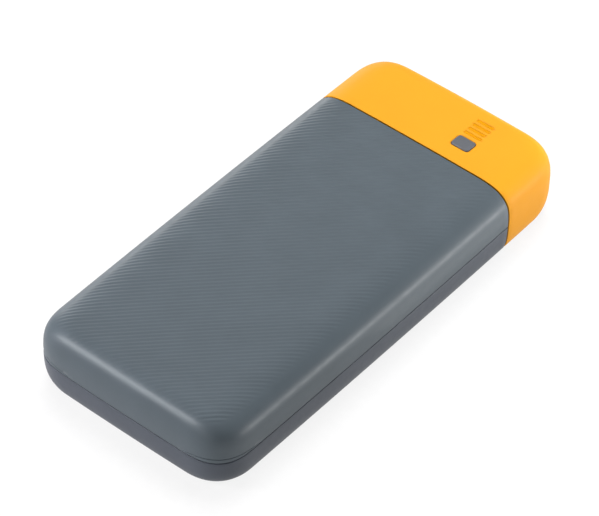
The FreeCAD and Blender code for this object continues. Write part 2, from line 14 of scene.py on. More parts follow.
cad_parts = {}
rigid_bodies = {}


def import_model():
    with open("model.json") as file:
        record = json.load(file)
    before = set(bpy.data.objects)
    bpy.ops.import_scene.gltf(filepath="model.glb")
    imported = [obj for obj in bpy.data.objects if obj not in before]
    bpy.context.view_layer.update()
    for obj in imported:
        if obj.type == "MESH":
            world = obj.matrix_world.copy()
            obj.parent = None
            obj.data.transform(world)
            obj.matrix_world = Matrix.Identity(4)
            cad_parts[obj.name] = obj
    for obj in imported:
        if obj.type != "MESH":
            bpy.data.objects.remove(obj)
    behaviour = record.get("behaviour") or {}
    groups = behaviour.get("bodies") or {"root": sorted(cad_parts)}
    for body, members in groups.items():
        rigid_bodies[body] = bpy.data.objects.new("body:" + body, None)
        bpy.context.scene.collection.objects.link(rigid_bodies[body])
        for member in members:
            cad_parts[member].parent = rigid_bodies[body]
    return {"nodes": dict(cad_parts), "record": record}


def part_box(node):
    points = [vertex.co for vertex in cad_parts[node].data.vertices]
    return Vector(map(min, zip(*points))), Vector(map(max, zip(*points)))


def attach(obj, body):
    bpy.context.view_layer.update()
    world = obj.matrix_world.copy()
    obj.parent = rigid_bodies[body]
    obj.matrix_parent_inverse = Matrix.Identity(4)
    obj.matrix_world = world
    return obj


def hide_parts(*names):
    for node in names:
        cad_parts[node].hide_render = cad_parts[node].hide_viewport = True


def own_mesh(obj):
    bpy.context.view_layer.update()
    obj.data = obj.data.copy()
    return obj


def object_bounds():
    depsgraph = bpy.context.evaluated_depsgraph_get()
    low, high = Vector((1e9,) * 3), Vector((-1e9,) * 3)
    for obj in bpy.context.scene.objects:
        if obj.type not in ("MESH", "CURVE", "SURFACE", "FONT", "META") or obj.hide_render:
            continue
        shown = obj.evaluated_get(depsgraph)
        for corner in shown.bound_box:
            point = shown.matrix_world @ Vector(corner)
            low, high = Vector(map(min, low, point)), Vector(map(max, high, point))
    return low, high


for old in list(bpy.data.objects):
    bpy.data.objects.remove(old)

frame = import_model()
cad_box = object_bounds()
MM = 0.001


def node_box(name):
    """Lowest and highest corner of a CAD node in millimetres."""
    low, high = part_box(name)
    return np.array(low) / MM, np.array(high) / MM


def add_object(name, data):
    """New object in the scene, for a mesh, a light or a camera."""
    obj = bpy.data.objects.new(name, data)
    bpy.context.scene.collection.objects.link(obj)
    return obj


# ---------------------------------------------------------------- sizes read from the frame
HALF_X, HALF_Y = (float(v) / MM for v in cad_box[1][:2])
HEIGHT = float(node_box("end_cap")[1][2])
PARTING = float(node_box("bottom_shell")[1][2])
CAP_START = float(node_box("end_cap")[0][1])
SPIGOT_END = float(node_box("bottom_shell")[1][1])

# ---------------------------------------------------------------- walls and the seam
WALL = 2.2
SEAM_GAP = 0.5
SEAM = CAP_START - SEAM_GAP
EDGE = 0.3  # rounding of the edges at the seam
EDGE_MIDDLE = 0.09  # how far the middle of that rounding lies from both faces
SPIGOT_LENGTH = SPIGOT_END - SEAM
SPIGOT_PLAY = 0.15
SPIGOT_WALL = 1.6
SPIGOT_OUTSIDE = WALL + SPIGOT_PLAY
SPIGOT_INSIDE = SPIGOT_OUTSIDE + SPIGOT_WALL

# ---------------------------------------------------------------- shape of the case
CORNER = 16.0  # reach of the corner curve in plan
CORNER_POWER = 2.7  # 2 is a circle, more is squarer
SIDE_BOW = 0.6
END_BOW = 0.5
SHOULDER_SIDE = 16.0  # how far the top edge's curve reaches in from a long side
SHOULDER_FRONT = 10.0
SHOULDER_CAP = 9.7
SHOULDER_ACROSS = 3.0  # powers of the top edge's curve
SHOULDER_UP = 3.55
PATCH_EDGE = 0.32  # where the top patch meets the rings, as a share of the shoulder
CROWN = 0.45  # drop of the top from its middle to its long sides
TUCK = 2.5  # how far the underside's edge lies in from the sides
TUCK_POWER = 2.6
TUCK_CORNER = 0.6  # how much further it lies in at the corners

# ---------------------------------------------------------------- ribs on the top shell
RIB_PITCH = 1.55
RIB_HEIGHT = 0.135
RIB_FADE = (0.33, 0.5)  # shares of the shoulder between which the ribs rise to their full height
RIB_SEAM_FADE = (1.0, 3.5)  # distances from the seam, likewise

# ---------------------------------------------------------------- fineness of the case's meshes
CORNER_SAMPLES = 181
APEX_SPAN = 88  # corner samples on each side of the top patch's apex that get rows of their own
APEX_STEP = 4
RING_SPACING = 2.0  # distance between the points of a ring
CORNER_SPACING = 0.7  # the same round the corners
PROFILE_SAMPLES = 400
TOP_RINGS = 16
LOWER_RINGS = 12
SHELL_ROWS = RIB_PITCH / 6  # distance between the diagonal rows of the ribbed top
CAP_ROWS = 1.0
SHELL_COLUMNS = 46
CAP_COLUMNS = 40
EVEN_SHARE = 0.35  # share of the columns' spacing that is even; the rest narrows towards the edges
SMOOTH_ANGLE = 35  # degrees; sharper edges stay sharp


def smooth_step(low, high, value):
    share = np.clip((value - low) / (high - low), 0, 1)
    return share * share * (3 - 2 * share)


def shoulder_reach(direction, end_reach):
    """Width of the top edge's curve, which differs between the long sides and the ends."""
    x, y = direction[..., 0] ** 2, direction[..., 1] ** 2
    return SHOULDER_SIDE + (end_reach - SHOULDER_SIDE) * y / (x + y)


def shoulder_drop(share):
    """Drop of the top surface at a share of the shoulder's reach in from the side."""
    inner = np.clip(1 - share, 0, 1)
    return (HEIGHT - PARTING) * (1 - (1 - inner**SHOULDER_ACROSS) ** (1 / SHOULDER_UP))


def corner_directions(count):
    """Points of the corner curve of reach 1, from the +X side to the +Y side."""
    angle = np.linspace(0, math.pi / 2, count)
    x, y = np.cos(angle), np.sin(angle)
    scale = (np.abs(x) ** CORNER_POWER + np.abs(y) ** CORNER_POWER) ** (-1 / CORNER_POWER)
    return np.stack([x * scale, y * scale], axis=1)


class Outline:
    """U-shaped outline of one end of the case, from its right open end round the end to its left open end.

    The closed end lies towards -Y. Each place on it is a base point and a direction that points outwards.
    """

    def __init__(self, open_end, end_reach):
        corner = corner_directions(CORNER_SAMPLES)
        in_x, in_y = HALF_X - CORNER, HALF_Y - CORNER
        right = corner * [1, -1]
        left = corner[::-1] * [-1, -1]
        corners = len(corner)
        bases = [[[in_x, open_end]], np.tile([in_x, -in_y], (corners, 1))]
        bases += [np.tile([-in_x, -in_y], (corners, 1)), [[-in_x, open_end]]]
        self.base = np.concatenate(bases)
        self.direction = np.concatenate([[[1, 0]], right, left, [[-1, 0]]])
        self.end_reach = end_reach

    def patch_edge(self):
        inset = PATCH_EDGE * shoulder_reach(self.direction, self.end_reach)
        return self.base + self.direction * (CORNER - inset)[:, None]

    def places_at(self, levels):
        """Base points and directions where the patch edge crosses each level of (x - y) / sqrt 2.

        The level rises along the right part of the outline up to the apex and falls along the left part.
        """
        edge = self.patch_edge()
        level = (edge[:, 0] - edge[:, 1]) / math.sqrt(2)
        apex = int(np.argmax(level))
        table = np.concatenate([self.base, self.direction], axis=1)
        right_levels = levels[levels >= level[0] - 1e-9]
        right = [np.interp(right_levels, level[: apex + 1], column[: apex + 1]) for column in table.T]
        left = [np.interp(levels, level[apex:][::-1], column[apex:][::-1]) for column in table.T]
        return np.stack(right, axis=1), np.stack(left, axis=1)

    def levels(self, pitch):
        """Rising levels of the patch's rows: even ones, with more where the apex corner turns."""
        edge = self.patch_edge()
        level = (edge[:, 0] - edge[:, 1]) / math.sqrt(2)
        apex = int(np.argmax(level))
        even = np.arange(math.ceil(level[-1] / pitch), level[apex] / pitch) * pitch
        before = level[apex - APEX_SPAN : apex : APEX_STEP]
        after = level[apex + APEX_STEP : apex + APEX_SPAN + 1 : APEX_STEP]
        wanted = np.sort(np.concatenate([even, before, after]))
        fixed = [level[-1], level[0], level[apex]]
        within = [value for value in wanted if level[-1] < value < level[apex]]
        clear = [value for value in within if min(abs(value - end) for end in fixed) > pitch / 6]
        kept = []
        for value in clear:
            if not kept or value - kept[-1] > pitch / 12:
                kept.append(value)
        return np.array(sorted(kept + fixed))


def pick_coarse(points, in_corner):
    """Indices of the samples that the rings use: the first, the last and enough in between."""
    picked = [0]
    for index in range(1, len(points) - 1):
        spacing = CORNER_SPACING if in_corner[index] else RING_SPACING
        if np.linalg.norm(points[index] - points[picked[-1]]) >= spacing:
            picked.append(index)
    if np.linalg.norm(points[-1] - points[picked[-1]]) < CORNER_SPACING / 2:
        picked.pop()
    return picked + [len(points) - 1]


# ---------------------------------------------------------------- profiles of the case's edges
BAND = 2.6  # the side wall below this height above the parting is straight
LIP_HEIGHT = 0.62  # height of the groove above the parting where the lip starts
LIP_RISE = 1.25  # how far the lip at each front corner rises
LIP_REACH = 17.0  # half its length along the outline
LIP_POWER = 0.8  # below 1 keeps the lip high for longer
GROOVE_FADE = (0.02, 0.25)  # shares of the lip's rise between which the groove gets its full depth
GROOVE_SECTION = ((0, 0.24), (0.275, 0.1), (0.55, 0.03), (0.51, -0.05), (0.1, -0.22))  # (depth, height) pairs
GROOVE_FOOT = 0.04  # inset of the wall below the groove
WALL_END = 0.36  # distance from the parting at which the walls above and below it start to round over
UPPER_EDGE = ((0.05, 0.27), (0.12, 0.21), (0.45, 0.19))  # (inset, height above the parting) pairs
LOWER_EDGE = ((0.45, 0.17), (0.12, 0.19), (0.04, 0.25), (0, WALL_END))  # (inset, depth below it) pairs
UNDERSIDE_INSET = TUCK + 2.5  # the innermost ring of the flat underside


def even_steps(points, count):
    """Resample a polyline to equal lengths."""
    lengths = np.concatenate([[0], np.cumsum(np.linalg.norm(np.diff(points, axis=0), axis=1))])
    wanted = np.linspace(0, lengths[-1], count + 1)
    return np.stack([np.interp(wanted, lengths, points[:, column]) for column in range(2)], axis=1)


def top_profile():
    """Shares of the shoulder's reach, and heights, from the top patch's edge down to the straight wall."""
    start = math.acos((1 - PATCH_EDGE) ** (SHOULDER_ACROSS / 2))
    stop = math.asin((BAND / (HEIGHT - PARTING)) ** (SHOULDER_UP / 2))
    angle = np.linspace(start, stop, PROFILE_SAMPLES)
    inset = SHOULDER_SIDE * (1 - np.cos(angle) ** (2 / SHOULDER_ACROSS))
    height = PARTING + np.sin(angle) ** (2 / SHOULDER_UP) * (HEIGHT - PARTING)
    steps = even_steps(np.stack([inset, height], axis=1), TOP_RINGS)
    return steps[:, 0] / SHOULDER_SIDE, steps[:, 1]


def lower_profile(top):
    """Insets and heights from the straight wall down to the underside."""
    angle = np.linspace(0, math.pi / 2, PROFILE_SAMPLES)
    inset = TUCK * (1 - np.cos(angle) ** (2 / TUCK_POWER))
    height = top * (1 - np.sin(angle) ** (2 / TUCK_POWER))
    return even_steps(np.stack([inset, height], axis=1), LOWER_RINGS)


def with_crown(spots, height):
    """Points that drop a little from the middle to the long sides, the more the higher they lie."""
    share = np.clip((height - PARTING) / (HEIGHT - PARTING), 0, 1)
    return np.column_stack([spots, height - CROWN * (spots[:, 0] / HALF_X) ** 2 * share])


def shoulder_share(x, y, end_reach):
    """How far a place of the plan lies in from the side, as a share of the shoulder's reach there."""
    across = np.maximum(np.abs(x) - (HALF_X - CORNER), 0) / CORNER
    along = np.maximum(-y - (HALF_Y - CORNER), 0) / CORNER
    ring = (across**CORNER_POWER + along**CORNER_POWER) ** (1 / CORNER_POWER)
    reach = shoulder_reach(np.stack([across + 1e-9, along], axis=-1), end_reach)
    return CORNER * (1 - ring) / reach


def rib_height(spots, share, seam):
    """Height added by the ribs, which run towards +X +Y and fade out before the edges and the seam."""
    phase = (spots[:, 0] - spots[:, 1]) / math.sqrt(2) / RIB_PITCH
    mask = smooth_step(*RIB_FADE, share) * smooth_step(*RIB_SEAM_FADE, seam - spots[:, 1])
    return RIB_HEIGHT * mask * 0.5 * np.cos(2 * math.pi * phase)


# A place of the profile, its unit normal (out, up), and whether it belongs to a straight wall.
Ring = namedtuple("Ring", "inset height out up square")


def profile_normals(inset, height):
    """Unit normals (outwards, upwards) of a profile that runs from its top to its bottom."""
    out, up = np.gradient(-np.asarray(inset, float)), np.gradient(np.asarray(height, float))
    size = np.hypot(out, up)
    return -up / size, out / size


class Part:
    """Closed mesh of one piece of the case: outer rings, inner rings and the rims that join them."""

    def __init__(self, open_end, end_reach, row_pitch):
        self.end = open_end
        self.end_reach = end_reach
        outline = Outline(open_end - EDGE, end_reach)
        self.levels = outline.levels(row_pitch)
        right, left = outline.places_at(self.levels)
        self.right_count = len(right)
        places = np.concatenate([right, left[:-1][::-1]])
        self.fine_base, self.fine_direction = places[:, :2], places[:, 2:]
        spots = self.fine_base + self.fine_direction * CORNER
        turning = np.abs(self.fine_direction[:, 0] * self.fine_direction[:, 1]) > 1e-4
        self.coarse = pick_coarse(spots, turning)
        self.base = self.fine_base[self.coarse]
        self.direction = self.fine_direction[self.coarse]
        self.reach = shoulder_reach(self.direction, end_reach)
        self.points = []
        self.faces = []

    def add(self, points):
        start = len(self.points)
        self.points += [tuple(point) for point in points]
        return list(range(start, len(self.points)))

    def strip(self, first, second):
        for index in range(len(first) - 1):
            self.faces.append([first[index], first[index + 1], second[index + 1], second[index]])

    # ------------------------------------------------ rings
    def shoulder_rings(self, shares, heights):
        out, up = profile_normals(np.array(shares) * SHOULDER_SIDE, heights)
        return [Ring(s * self.reach, h, o, u, False) for s, h, o, u in zip(shares, heights, out, up)]

    def wall_rings(self, pairs):
        return [Ring(inset, height, 1, 0, True) for inset, height in pairs]

    def tuck_rings(self):
        """From the straight wall down to the flat underside."""
        table = np.concatenate([lower_profile(PARTING - WALL_END), [[UNDERSIDE_INSET, 0]]])
        out, up = profile_normals(table[:, 0], table[:, 1])
        x, y = self.direction[:, 0] ** 2, self.direction[:, 1] ** 2
        deeper = 1 + TUCK_CORNER * 4 * x * y / (x + y) ** 2
        return [Ring(i * deeper, h, o, u, False) for (i, h), o, u in zip(table[1:], out[1:], up[1:])]

    def outer_points(self, ring):
        inset = np.broadcast_to(ring.inset, len(self.base)).astype(float)
        height = np.broadcast_to(ring.height, len(self.base)).astype(float)
        return with_crown(self.base + self.direction * (CORNER - inset)[:, None], height)

    def inner_points(self, ring, end):
        """A ring moved in by the wall, with its straight sides stretched to another open end."""
        straight = -(HALF_Y - CORNER)
        base = self.base.copy()
        share = np.clip((base[:, 1] - straight) / (self.end - EDGE - straight), 0, 1)
        base[:, 1] = np.where(share > 0, straight + share * (end - straight), base[:, 1])
        inset = np.maximum(ring.inset, WALL) if ring.square else ring.inset + WALL * ring.out
        inset = np.broadcast_to(inset, len(base)).astype(float)
        height = np.broadcast_to(ring.height - WALL * ring.up, len(base))
        return np.column_stack([base + self.direction * (CORNER - inset)[:, None], height])

    def skin(self, tables):
        """Rows of points, each joined to the next. Returns their indices."""
        rows = [self.add(points) for points in tables]
        for first, second in zip(rows, rows[1:]):
            self.strip(first, second)
        return rows

    def outer(self, rings):
        return self.skin(self.outer_points(ring) for ring in rings)

    def inner(self, rings, end):
        return self.skin(self.inner_points(ring, end) for ring in rings)

    # ------------------------------------------------ top patch
    def patch(self, columns, ribbed):
        """Diagonal rows of the top surface. Returns its edges along the outline and along the open end."""
        reach = shoulder_reach(self.fine_direction, self.end_reach)
        edge_spots = self.fine_base + self.fine_direction * (CORNER - PATCH_EDGE * reach)[:, None]
        edge = self.add(self.surface(edge_spots, ribbed))
        first_right = len(self.levels) - self.right_count
        even = np.linspace(0, 1, columns + 1)
        narrowing = 0.5 - 0.5 * np.cos(math.pi * even)
        shares = (EVEN_SHARE * even + (1 - EVEN_SHARE) * narrowing)[1:-1, None]
        rows, seam = [], []
        for index, level in enumerate(self.levels):
            left = self.right_count + len(self.levels) - 2 - index
            right = index - first_right
            if index == 0 or index == len(self.levels) - 1:
                rows.append([edge[left]])
                continue
            if right < 0:
                y = self.end - EDGE
                right_spot = np.array([level * math.sqrt(2) + y, y])
                right_id = self.add(self.surface(right_spot[None], ribbed))[0]
                seam.append(right_id)
            else:
                right_spot, right_id = edge_spots[right], edge[right]
            spots = edge_spots[left] + shares * (right_spot - edge_spots[left])
            rows.append([edge[left]] + self.add(self.surface(spots, ribbed)) + [right_id])
        for first, second in zip(rows, rows[1:]):
            if len(first) == 1:
                self.faces += [[first[0], second[i], second[i + 1]] for i in range(len(second) - 1)]
            elif len(second) == 1:
                self.faces += [[second[0], first[i], first[i + 1]] for i in range(len(first) - 1)]
            else:
                self.strip(first, second)
        return edge, seam[::-1]

    def surface(self, spots, ribbed):
        share = shoulder_share(spots[:, 0], spots[:, 1], self.end_reach)
        points = with_crown(spots, HEIGHT - shoulder_drop(share))
        if ribbed:
            points[:, 2] += rib_height(spots, share, self.end)
        return points

    def join_patch(self, edge, ring):
        """Faces between the patch's fine boundary and the first coarse ring."""
        for index in range(len(self.coarse) - 1):
            start, stop = self.coarse[index], self.coarse[index + 1]
            self.faces.append(edge[start : stop + 1] + [ring[index + 1], ring[index]])

    # ------------------------------------------------ rims at the open end
    def rim(self, row, square, steps, direction):
        """Rows that follow an open end's edge, each at an inset and a place along Y. Returns all of them."""
        points = np.array([self.points[index] for index in row])
        slope = np.gradient(points[:, [0, 2]], axis=0)
        normal = direction * np.stack([slope[:, 1], -slope[:, 0]], axis=1)
        normal /= np.linalg.norm(normal, axis=1)[:, None]
        square = np.array(square)
        rows = [row]
        for inset, y in steps:
            moved = points.copy()
            moved[:, 1] = y
            moved[:, [0, 2]] -= inset * normal
            walls = np.sign(points[:, 0]) * np.minimum(np.abs(points[:, 0]), HALF_X - inset)
            moved[square, 0] = walls[square]
            moved[square, 2] = points[square, 2]
            rows.append(self.add(moved))
            self.strip(rows[-2], rows[-1])
        return rows

    # ------------------------------------------------ finished object
    def build(self, name, mirrored=False):
        table = warp(np.array(self.points))
        if mirrored:
            table[:, 1] *= -1
        mesh = bpy.data.meshes.new(name)
        mesh.from_pydata((table * MM).tolist(), [], self.faces)
        shape = bmesh.new()
        shape.from_mesh(mesh)
        bmesh.ops.recalc_face_normals(shape, faces=shape.faces)
        shape.to_mesh(mesh)
        shape.free()
        obj = add_object(name, mesh)
        smooth(obj)
        return obj


def warp(points):
    """Bow the long sides and the ends slightly outwards."""
    x, y = points[:, 0], points[:, 1]
    end = np.clip((np.abs(y) - SEAM) / (HALF_Y - SEAM), 0, None)
    moved = points.copy()
    moved[:, 0] = x * (1 - SIDE_BOW / HALF_X * (y / HALF_Y) ** 2)
    moved[:, 1] = y - np.sign(y) * END_BOW * (x / HALF_X) ** 2 * end**2
    return moved


def smooth(obj):
    obj.data.shade_smooth()
    obj.data.set_sharp_from_angle(angle=math.radians(SMOOTH_ANGLE))


# ---------------------------------------------------------------- the three pieces of the case
# The shells' open end as (inset, place along Y) pairs: the rounded edge, then the spigot.
SHELL_STEPS = [(EDGE_MIDDLE, SEAM - EDGE_MIDDLE), (EDGE, SEAM), (SPIGOT_OUTSIDE, SEAM)]
SHELL_STEPS += [(SPIGOT_OUTSIDE, SEAM + SPIGOT_LENGTH), (SPIGOT_INSIDE, SEAM + SPIGOT_LENGTH)]
SHELL_STEPS += [(SPIGOT_INSIDE, SEAM - SPIGOT_LENGTH)]
INNER_SHARES = [0.9, 0.6, 0.45]  # places of the rings under the flat top, as shares of the shoulder


def lip_share(part):
    """1 at the middle of each front corner, falling to 0 along the sides."""
    spots = part.base + part.direction * CORNER
    along = np.concatenate([[0], np.cumsum(np.linalg.norm(np.diff(spots, axis=0), axis=1))])
    turn = part.direction[:, 0] * part.direction[:, 1]
    middles = along[np.argmin(turn)], along[np.argmax(turn)]
    distance = np.min([np.abs(along - middle) for middle in middles], axis=0)
    return (0.5 + 0.5 * np.cos(math.pi * np.clip(distance / LIP_REACH, 0, 1))) ** LIP_POWER


def lip_rings(part):
    """Groove that rises over the front corners, and the rounded edge at the parting line."""
    share = lip_share(part)
    deep = smooth_step(*GROOVE_FADE, share)
    middle = PARTING + LIP_HEIGHT + LIP_RISE * share
    pairs = [(depth * deep, middle + height) for depth, height in GROOVE_SECTION]
    pairs.append((GROOVE_FOOT * deep, PARTING + WALL_END))
    pairs += [(inset, PARTING + height) for inset, height in UPPER_EDGE]
    return part.wall_rings(pairs)


def inner_shoulder(part, shares, heights):
    """Rings under the shoulder, starting with a few under the flat top."""
    under_top = [HEIGHT - shoulder_drop(np.array(share)) for share in INNER_SHARES]
    return part.shoulder_rings(np.concatenate([INNER_SHARES, shares]), np.concatenate([under_top, heights]))


def arch(rows, rings, edge, seam):
    """Edge of an open end over the top, and which of its points lie on straight walls."""
    square = [ring.square for ring in rings]
    row = [r[0] for r in rows[::-1]] + [edge[0]] + seam + [edge[-1]] + [r[-1] for r in rows]
    return row, square[::-1] + [False] * (len(seam) + 2) + square


def make_top_shell():
    part = Part(SEAM, SHOULDER_FRONT, SHELL_ROWS)
    edge, seam = part.patch(SHELL_COLUMNS, ribbed=True)
    shares, heights = top_profile()
    lips = lip_rings(part)
    rings = part.shoulder_rings(shares, heights)[1:] + lips
    rows = part.outer(rings)
    part.join_patch(edge, rows[0])
    inside = part.inner(inner_shoulder(part, shares, heights) + lips[-1:], SEAM - SPIGOT_LENGTH)
    part.faces.append(inside[0])
    part.strip(rows[-1], inside[-1])
    rims = part.rim(*arch(rows, rings, edge, seam), SHELL_STEPS, 1)
    part.faces.append(rims[-1] + [r[-1] for r in inside[::-1]] + [r[0] for r in inside])
    for side in (0, -1):
        part.faces.append([r[side] for r in rims] + [inside[-1][side]])
    return part.build("top_shell_looks")


def make_bottom_shell():
    part = Part(SEAM, SHOULDER_FRONT, SHELL_ROWS)
    rings = part.wall_rings([(inset, PARTING - depth) for inset, depth in LOWER_EDGE]) + part.tuck_rings()
    rows = part.outer(rings)
    part.faces.append(rows[-1])
    inside = part.inner([rings[0]] + rings[len(LOWER_EDGE) :], SEAM - SPIGOT_LENGTH)
    part.faces.append(inside[-1])
    part.strip(rows[0], inside[0])
    square = [ring.square for ring in rings]
    row = [r[0] for r in rows] + [r[-1] for r in rows[::-1]]
    rims = part.rim(row, square + square[::-1], SHELL_STEPS, -1)
    part.faces.append(rims[-1] + [r[-1] for r in inside] + [r[0] for r in inside[::-1]])
    for side in (0, -1):
        part.faces.append([r[side] for r in rims] + [inside[0][side]])
    return part.build("bottom_shell_looks")


def make_end_cap():
    """Modelled with its closed end towards -Y like the shells, then mirrored."""
    end = -CAP_START
    part = Part(end, SHOULDER_CAP, CAP_ROWS)
    edge, seam = part.patch(CAP_COLUMNS, ribbed=False)
    shares, heights = top_profile()
    rings = part.shoulder_rings(shares, heights)[1:]
    rings += part.wall_rings([(0, PARTING - WALL_END)]) + part.tuck_rings()
    rows = part.outer(rings)
    part.join_patch(edge, rows[0])
    part.faces.append(rows[-1])
    inside = part.inner(inner_shoulder(part, shares, heights) + rings[len(shares) - 1 :], end)
    part.faces += [inside[0], inside[-1]]
    steps = [(EDGE_MIDDLE, end - EDGE_MIDDLE), (EDGE, end)]
    rims = part.rim(*arch(rows, rings, edge, seam), steps, 1)
    part.faces += [[first[-1], first[0], second[0], second[-1]] for first, second in zip(rims, rims[1:])]
    # The flat rim between the outer and the inner skin is two faces, split at the straight wall.
    wall = [ring.square for ring in rings].index(True)
    inner_wall = wall + len(INNER_SHARES) + 1
    last = rims[-1]
    low = len(rows) - wall
    upper = last[low - 1 : len(last) - low + 1]
    upper += [r[-1] for r in inside[: inner_wall + 1][::-1]] + [r[0] for r in inside[: inner_wall + 1]]
    lower = last[len(last) - low :] + last[:low]
    lower += [r[0] for r in inside[inner_wall:]] + [r[-1] for r in inside[inner_wall:][::-1]]
    part.faces += [upper, lower]
    return part.build("end_cap_looks", mirrored=True)


top_shell = make_top_shell()
bottom_shell = make_bottom_shell()
end_cap = make_end_cap()


# ---------------------------------------------------------------- openings in the cap, button and light guide
BUTTON_AT = (13.7, 66.7)
BUTTON_HALF = (3.6, 2.65)
BUTTON_RADIUS = 1.0
BUTTON_ROUNDING = 0.4
BUTTON_ANGLES = range(0, 91, 18)  # degrees of that rounding that have a loop
FLANGE = 1  # how far the button's flange reaches past it
FLANGE_HEIGHTS = (22.2, 23.05)
STEM_RADIUS = 1.5
CLEARANCE = 0.15
SLOT_PITCH = 2.37
SLOT_START = 71.95
SLOT_HALF = (3.5, 0.6)
SLOT_RADIUS = 0.4
SLOT_PLACES = [(BUTTON_AT[0], SLOT_START + SLOT_PITCH * index) for index in range(4)]
GUIDE_BAR = (3.45, 0.55)
GUIDE_RADIUS = 0.3
GUIDE_BLOCK_TOP = 23.1
GUIDE_OVERLAP = 0.1  # how far the bars reach down into the block
DISH = ((0.04, 0), (0.1, 0.02), (0.24, 0.08), (0.38, 0.12), (0.5, 0.13))  # a bar's end as (inset, dip) pairs
DISH_RADIUS = 0.04  # smallest corner radius in the dish
USB_A_AT = ((-19.5, 13.54), (0, 13.54))
USB_A_HALF = (6.55, 2.86)
USB_A_RADIUS = 0.75
USB_C_AT = (17, 14.82)
USB_C_HALF = (4.47, 1.58)
USB_C_RADIUS = 1.55
MOUTH_ROUNDING = 0.25
SLOT_ROUNDING = 0.35
MOUTH_ANGLES = (0, 24, 48, 72)  # degrees of the rounding that have a loop
FLARE = 0.06  # length of the straight flare above the rounding
CUTTER_RISE = 1  # how far a cutter stands out of the surface
TOP_CUT_FROM = 20  # height at which the cutters for the top start
PORT_CUT_DEPTH = 4


def rounded_loop(half_u, half_v, radius, steps=8):
    """Corners of a rounded rectangle, as (u, v) points in order."""
    points = []
    for quarter in range(4):
        sign_u, sign_v = ((1, 1), (-1, 1), (-1, -1), (1, -1))[quarter]
        for step in range(steps + 1):
            angle = math.pi / 2 * (quarter + step / steps)
            u = sign_u * (half_u - radius) + radius * math.cos(angle)
            v = sign_v * (half_v - radius) + radius * math.sin(angle)
            points.append((u, v))
    return points


def add_stack(shape, loops):
    """Closed skin through loops of equal count, each a list of points in millimetres."""
    rows = [[shape.verts.new([value * MM for value in point]) for point in loop] for loop in loops]
    shape.faces.new(rows[0])
    shape.faces.new(rows[-1])
    for first, second in zip(rows, rows[1:]):
        for index in range(len(first)):
            shape.faces.new([first[index - 1], first[index], second[index], second[index - 1]])


def finished_mesh(name, shape):
    bmesh.ops.recalc_face_normals(shape, faces=shape.faces)
    mesh = bpy.data.meshes.new(name)
    shape.to_mesh(mesh)
    shape.free()
    return add_object(name, mesh)


def stacked(name, loops):
    shape = bmesh.new()
    add_stack(shape, loops)
    return finished_mesh(name, shape)


def upright(centre, half, radius, height):
    return [(centre[0] + u, centre[1] + v, height) for u, v in rounded_loop(*half, radius)]


def facing_end(centre, half, radius, place):
    return [(centre[0] + u, place, centre[1] + v) for u, v in rounded_loop(*half, radius)]


def grown(half, growth):
    return half[0] + growth, half[1] + growth


def mouth_steps(surface, rounding):
    """(growth, place) pairs of a hole's wall that rounds over into the surface."""
    steps = []
    for degrees in MOUTH_ANGLES:
        angle = math.radians(degrees)
        steps.append((rounding * (1 - math.cos(angle)), surface - rounding * (1 - math.sin(angle))))
    growth, place = steps[-1]
    growth += FLARE * math.tan(angle)
    return steps + [(growth, place + FLARE), (growth, surface + CUTTER_RISE)]


def hole_cutter(loop, centre, half, radius, inner, surface, rounding):
    steps = [(0, inner)] + mouth_steps(surface, rounding)
    return stacked("cutter", [loop(centre, grown(half, grow), radius + grow, place) for grow, place in steps])


def cap_cutters():
    """Cutters for the button, the charge windows and the sockets."""
    level = HEIGHT - CROWN * (BUTTON_AT[0] / HALF_X) ** 2
    half, radius = grown(BUTTON_HALF, CLEARANCE), BUTTON_RADIUS + CLEARANCE
    cutters = [hole_cutter(upright, BUTTON_AT, half, radius, TOP_CUT_FROM, level, MOUTH_ROUNDING)]
    for centre in SLOT_PLACES:
        window = hole_cutter(upright, centre, SLOT_HALF, SLOT_RADIUS, TOP_CUT_FROM, level, SLOT_ROUNDING)
        cutters.append(window)
    ports = [(centre, USB_A_HALF, USB_A_RADIUS) for centre in USB_A_AT]
    ports.append((USB_C_AT, USB_C_HALF, USB_C_RADIUS))
    for centre, half, radius in ports:
        surface = HALF_Y - END_BOW * (centre[0] / HALF_X) ** 2
        inner = HALF_Y - PORT_CUT_DEPTH
        half = grown(half, CLEARANCE)
        cutters.append(hole_cutter(facing_end, centre, half, radius, inner, surface, MOUTH_ROUNDING))
    return cutters


def cut_out(obj, cutters):
    for cutter in cutters:
        modifier = obj.modifiers.new("cut", "BOOLEAN")
        modifier.operation = "DIFFERENCE"
        modifier.solver = "EXACT"
        modifier.object = cutter
    evaluated = obj.evaluated_get(bpy.context.evaluated_depsgraph_get())
    mesh = bpy.data.meshes.new_from_object(evaluated)
    obj.modifiers.clear()
    obj.data = mesh
    for cutter in cutters:
        bpy.data.objects.remove(cutter)
    smooth(obj)


def make_button():
    """Key with a rounded top, the flange that holds it under the cap, and the stem over the switch."""
    low, high = node_box("button")
    stem_half = (STEM_RADIUS, STEM_RADIUS)
    flange_half = grown(BUTTON_HALF, FLANGE)
    stem_heights = (low[2], FLANGE_HEIGHTS[0])
    loops = [upright(BUTTON_AT, stem_half, STEM_RADIUS, height) for height in stem_heights]
    loops += [upright(BUTTON_AT, flange_half, BUTTON_RADIUS + FLANGE, height) for height in FLANGE_HEIGHTS]
    loops.append(upright(BUTTON_AT, BUTTON_HALF, BUTTON_RADIUS, FLANGE_HEIGHTS[1]))
    for degrees in BUTTON_ANGLES:
        angle = math.radians(degrees)
        shrink = BUTTON_ROUNDING * (1 - math.cos(angle))
        height = high[2] - BUTTON_ROUNDING * (1 - math.sin(angle))
        loops.append(upright(BUTTON_AT, grown(BUTTON_HALF, -shrink), BUTTON_RADIUS - shrink, height))
    obj = stacked("button_looks", loops)
    smooth(obj)
    return obj


